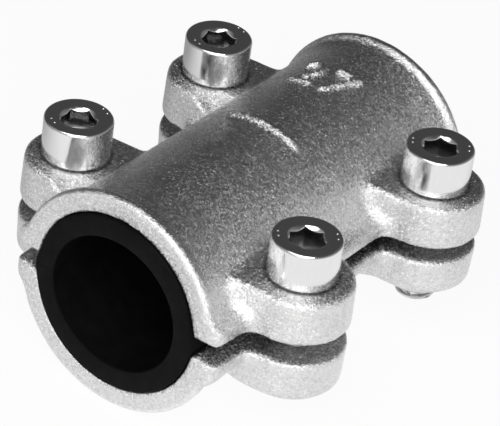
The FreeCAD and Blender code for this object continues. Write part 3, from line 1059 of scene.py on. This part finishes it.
# %% Casting material
CASTING_GRAIN = 5.0
CASTING_CRYSTALS = 4.7
CASTING_LEAN = 0.62
CASTING_RELIEF = 0.25 * MM
CASTING_TONES = [(0.0, 0.62), (0.4, 0.80), (1.0, 0.90)]
CASTING_ROUGHNESS = (0.31, 0.20)
CRYSTAL_TONE = 0.12
PATCHES_PER_MM = 0.16
PATCH_SHARE = 0.4
# Partly wear, partly a painted highlight on the collars' rims.
RIM_WEAR_AND_PAINTED_HIGHLIGHT = 0.35
RIM_LEAN = 0.30
RIM_GLOSS = 0.60
# Painted contact shadow at the screws' feet.
FOOT_PAINTED_SHADOW = 0.65
# Painted shade in the gap between the halves.
PARTING_PAINTED_SHADE = 0.30


def casting_material():
    material, tree, shader, place, grain = new_material("plated_casting", CASTING_GRAIN, 1.0)
    grain.inputs["Crystals per mm"].default_value = CASTING_CRYSTALS
    rims = rim_wear_and_painted_highlight(tree, place)
    wire(tree, between(tree, rims, CASTING_LEAN, RIM_LEAN), grain.inputs["Lean"])
    patches = noise_node(tree, place, PATCHES_PER_MM, detail=3.0)
    lightness = math_node(tree, "MULTIPLY", grain.outputs["Mask"], 1 - PATCH_SHARE)
    for layer in (
        math_node(tree, "MULTIPLY", patches, PATCH_SHARE),
        between(tree, grain.outputs["Crystal"], -CRYSTAL_TONE, CRYSTAL_TONE),
        # Rims painted lighter: partly wear, partly a painted highlight along the collars.
        math_node(tree, "MULTIPLY", rims, RIM_WEAR_AND_PAINTED_HIGHLIGHT),
    ):
        lightness = math_node(tree, "ADD", lightness, layer)
    tone = grey_ramp(tree, lightness, CASTING_TONES)
    distance, height = screw_distance(tree, place)
    # Painted contact shadow round each screw head's foot.
    tone = darkened(tree, tone, painted_foot_shadow(tree, distance, height), FOOT_PAINTED_SHADOW)
    # Painted shade on the parting faces in the gap.
    tone = darkened(tree, tone, parting_faces_painted_shade(tree, height), PARTING_PAINTED_SHADE)
    wire(tree, tone, shader.inputs["Base Color"])
    dull = between(tree, grain.outputs["Mask"], *CASTING_ROUGHNESS)
    dull = math_node(tree, "MULTIPLY", dull, between(tree, rims, 1.0, RIM_GLOSS))
    wire(tree, dull, shader.inputs["Roughness"])
    bump(tree, shader, grain.outputs["Height"], CASTING_RELIEF, grain.outputs["Normal"])
    return material


PLATED_CASTING = casting_material()
print("material", PLATED_CASTING.name)

# %% [markdown]
# ## The screws' finish
#
# Bright zinc on turned steel is nearly a mirror. Only a breath of roughness and very faint
# lengthwise streaks keep it from looking like chrome. The hexagon is painted darker inside,
# as painted shade in the socket.

# %% Screw material
ZINC_GRAIN = 2.2
ZINC_TONES = [(0.3, 0.81), (0.7, 0.84)]
ZINC_ROUGHNESS = (0.20, 0.12)
STREAKS_PER_MM = 2.4
STREAK_STRETCH = 0.12
STREAK_RELIEF = 0.001 * MM
SOCKET_REACH = (3.5, 3.8)
# Measured from the head's top.
SOCKET_LEVEL = (-1.4, -0.9)
# Painted shade in the socket.
SOCKET_PAINTED_SHADE = 0.5


def screw_material():
    material, tree, shader, place, grain = new_material("bright_zinc", ZINC_GRAIN, 1.0)
    stretched = add_node(tree, "ShaderNodeMapping")
    stretched.inputs["Scale"].default_value = (1.0, 1.0, STREAK_STRETCH)
    wire(tree, place, stretched.inputs["Vector"])
    streaks = noise_node(tree, stretched.outputs["Vector"], STREAKS_PER_MM, detail=3.0)
    tone = grey_ramp(tree, streaks, ZINC_TONES)
    distance, height = screw_distance(tree, place)
    inner = spread(tree, distance, *SOCKET_REACH, 1.0, 0.0)
    low, high = (HEAD_TOP + level for level in SOCKET_LEVEL)
    deep = spread(tree, height, low, high, 1.0, 0.0)
    # Painted shade inside the hexagon socket.
    tone = darkened(tree, tone, math_node(tree, "MULTIPLY", inner, deep), SOCKET_PAINTED_SHADE)
    wire(tree, tone, shader.inputs["Base Color"])
    wire(tree, between(tree, grain.outputs["Mask"], *ZINC_ROUGHNESS), shader.inputs["Roughness"])
    bump(tree, shader, streaks, STREAK_RELIEF)
    return material


BRIGHT_ZINC = screw_material()
print("material", BRIGHT_ZINC.name)

# %% [markdown]
# ## The rubber's finish
#
# Black rubber, matt, with a very fine grain and the faintest bloom where it has been handled.
# It is nearly black, so its low specular level matters more than its colour.

# %% Rubber material
RUBBER_GRAIN = 4.5
RUBBER_SPECULAR = 0.08
RUBBER_TONES = [(0.35, 0.002), (0.75, 0.004)]
RUBBER_ROUGHNESS = (0.70, 0.56)
RUBBER_RELIEF = 0.05 * MM
BLOOM_PER_MM = 0.35


def rubber_material():
    material, tree, shader, place, grain = new_material("black_rubber", RUBBER_GRAIN, 0.0)
    shader.inputs["Specular IOR Level"].default_value = RUBBER_SPECULAR
    bloom = noise_node(tree, place, BLOOM_PER_MM, detail=4.0)
    wire(tree, grey_ramp(tree, bloom, RUBBER_TONES), shader.inputs["Base Color"])
    gloss = between(tree, grain.outputs["Mask"], *RUBBER_ROUGHNESS)
    wire(tree, gloss, shader.inputs["Roughness"])
    bump(tree, shader, grain.outputs["Height"], RUBBER_RELIEF)
    return material


BLACK_RUBBER = rubber_material()
print("material", BLACK_RUBBER.name)

# %% [markdown]
# ## Dress the pieces
#
# Each piece gets its material and the body that it rides on, and the construction piece that it
# stands for is hidden.

# %% Ride, and hide what each piece stands for


def dress(piece, material, body, node):
    piece.data.materials.clear()
    piece.data.materials.append(material)
    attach(piece, body)
    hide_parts(node)


dress(upper_casting, PLATED_CASTING, "upper_half", "upper_shell")
dress(lower_casting, PLATED_CASTING, "lower_half", "lower_shell")
dress(rubber_lining, BLACK_RUBBER, "lower_half", "rubber_sleeve")
for screw_name, screw in cap_screws.items():
    dress(screw, BRIGHT_ZINC, screw_name, screw_name)
print("dressed", len(cap_screws) + 3, "pieces")

# %% [markdown]
# ## The floor
#
# The photograph's ground is plain white. The floor shows white to the camera, and a share of
# real diffuse shading keeps the clamp's shadow on it. Bright metal mirrors this floor, whose
# colour and white share are painted to fall off: white towards the lamp, at the front right,
# and grey behind the clamp on the left, a painted falloff of light and shade.

# %% Lay the floor
FLOOR_SIZE = 4.0
FLOOR_SEEN = 0.93
# Painted falloff of light on the floor, seen in reflections.
FLOOR_PAINTED_FALLOFF = (0.5, 0.9)
MIRRORED_PAINTED_FALLOFF = (0.10, 0.9)
# The way towards the lamp, and where along it the painted falloff turns the floor from grey to
# white.
LAMP_WAY = (0.84, -0.54)
LAMP_REACH = (-0.09, 0.03)


def floor_share(tree, path, lampward):
    # How much of the floor is plain white: most of it for the camera, and for reflections
    # more the nearer the lamp, as a painted falloff of light.
    mirrored = math_node(
        tree, "MAXIMUM", path.outputs["Is Glossy Ray"], path.outputs["Is Transmission Ray"]
    )
    return math_node(
        tree, "MAXIMUM",
        math_node(tree, "MULTIPLY", path.outputs["Is Camera Ray"], FLOOR_SEEN),
        math_node(tree, "MULTIPLY", mirrored, spread(tree, lampward, *LAMP_REACH, *MIRRORED_PAINTED_FALLOFF)),
    )


def floor_material():
    material = bpy.data.materials.new("white_floor")
    material.use_nodes = True
    tree = material.node_tree
    tree.nodes.clear()
    output = add_node(tree, "ShaderNodeOutputMaterial")
    plain = add_node(tree, "ShaderNodeBsdfDiffuse")
    white = add_node(tree, "ShaderNodeEmission")
    white.inputs["Color"].default_value = (1, 1, 1, 1)
    white.inputs["Strength"].default_value = 1.0
    path = add_node(tree, "ShaderNodeLightPath")
    coordinates = add_node(tree, "ShaderNodeTexCoord")
    parts = separated(tree, coordinates.outputs["Object"])
    steps = [math_node(tree, "MULTIPLY", parts[label], way) for label, way in zip("XY", LAMP_WAY)]
    lampward = math_node(tree, "ADD", *steps)
    # Painted falloff: for reflections the floor's colour greys away from the lamp, behind the
    # clamp.
    tone = spread(tree, lampward, *LAMP_REACH, *FLOOR_PAINTED_FALLOFF)
    tone = between(tree, path.outputs["Is Camera Ray"], tone, FLOOR_PAINTED_FALLOFF[1])
    wire(tree, tone, plain.inputs["Color"])
    mix = add_node(tree, "ShaderNodeMixShader")
    wire(tree, floor_share(tree, path, lampward), mix.inputs["Fac"])
    wire(tree, plain.outputs["BSDF"], mix.inputs[1])
    wire(tree, white.outputs["Emission"], mix.inputs[2])
    wire(tree, mix.outputs["Shader"], output.inputs["Surface"])
    return material


bpy.ops.object.select_all(action="DESELECT")
bpy.ops.mesh.primitive_plane_add(size=FLOOR_SIZE, location=(0, 0, FLOOR_HEIGHT))
floor = added("floor")
floor.data.materials.append(floor_material())
print("floor", FLOOR_SIZE, "m wide")

# %% [markdown]
# ## The camera
#
# The camera stands to the front right, a little over a third of a right angle above the table,
# and far enough away for a long lens. It is rolled a little, as in the photograph, where the
# screws lean to the right.

# %% Aim the camera
CAMERA_AZIMUTH = math.radians(32.12)
CAMERA_ELEVATION = math.radians(33.81)
CAMERA_DISTANCE = 0.5201
CAMERA_ROLL = math.radians(8.33)
CAMERA_AIM = Vector((0.0, 0.0002, 0.0003))
CAMERA_LENS = 199.4

towards_camera = Vector((
    math.sin(CAMERA_AZIMUTH) * math.cos(CAMERA_ELEVATION),
    -math.cos(CAMERA_AZIMUTH) * math.cos(CAMERA_ELEVATION),
    math.sin(CAMERA_ELEVATION),
))
camera_data = bpy.data.cameras.new("portrait_camera")
camera_data.lens = CAMERA_LENS
camera_data.sensor_width = 36
camera_data.clip_start = 0.01
camera = bpy.data.objects.new("portrait_camera", camera_data)
bpy.context.scene.collection.objects.link(camera)
stand = Matrix.Translation(CAMERA_AIM + towards_camera * CAMERA_DISTANCE)
aim = (-towards_camera).to_track_quat("-Z", "Y").to_matrix().to_4x4()
roll = Matrix.Rotation(CAMERA_ROLL, 4, "Z")
camera.matrix_world = stand @ aim @ roll
bpy.context.scene.camera = camera
print("camera at", tuple(round(value, 4) for value in camera.matrix_world.translation))

# %% [markdown]
# ## The light
#
# Bright metal shows the room rather than the lamps. The room here is dim overhead and behind,
# which is why the upward faces look dark, and lighter in front and low down to the right. A
# large soft lamp near the camera lights what faces the viewer, and the white floor lights the
# upright faces from below. A smaller lamp above and in front, a little to the left, draws the
# white lines along the heads' front rims and the back collar, and lights the hollows beside the
# left ears.

# %% Set the lamps
LAMP_DISTANCE = 0.80
# The front lamp stands a little above the line to the camera.
LAMP_LIFT = Vector((0, 0, 0.12))


def soft_lamp(name, direction, size, radiance):
    # A round area lamp that faces the clamp; its radiance is what a mirror would show.
    data = bpy.data.lights.new(name, "AREA")
    data.shape = "DISK"
    data.size = size
    data.energy = radiance * math.pi * math.pi * (size / 2) ** 2
    lamp = bpy.data.objects.new(name, data)
    bpy.context.scene.collection.objects.link(lamp)
    direction = Vector(direction).normalized()
    lamp.matrix_world = (
        Matrix.Translation(direction * LAMP_DISTANCE)
        @ direction.to_track_quat("Z", "Y").to_matrix().to_4x4()
    )
    print(name, "gives", round(data.energy, 2), "watts")


soft_lamp("front_softbox", towards_camera + LAMP_LIFT, size=0.70, radiance=4.2)
soft_lamp("top_softbox", (-0.12, -0.52, 0.85), size=0.36, radiance=2.2)

# %% Paint the room
ROOM_DARK = 0.06
ROOM_SIDE = 0.55
ROOM_LOW = (0.8, 0.0)
ROOM_RIGHT = (-0.1, 0.9)
ROOM_FRONT = (-0.2, -0.9)


def room_light():
    world = bpy.data.worlds.new("room")
    bpy.context.scene.world = world
    world.use_nodes = True
    tree = world.node_tree
    background = tree.nodes["Background"]
    coordinates = add_node(tree, "ShaderNodeTexCoord")
    parts = separated(tree, coordinates.outputs["Generated"])
    low_down = spread(tree, parts["Z"], *ROOM_LOW)
    side = math_node(tree, "MULTIPLY", low_down, spread(tree, parts["X"], *ROOM_RIGHT))
    light = math_node(tree, "MAXIMUM", side, spread(tree, parts["Y"], *ROOM_FRONT))
    tone = grey_ramp(tree, light, [(0.0, ROOM_DARK), (1.0, ROOM_SIDE)])
    wire(tree, tone, background.inputs["Color"])
    background.inputs["Strength"].default_value = 1.0


room_light()
bpy.context.scene.view_settings.view_transform = "Standard"
print("room from", ROOM_DARK, "to", ROOM_SIDE)
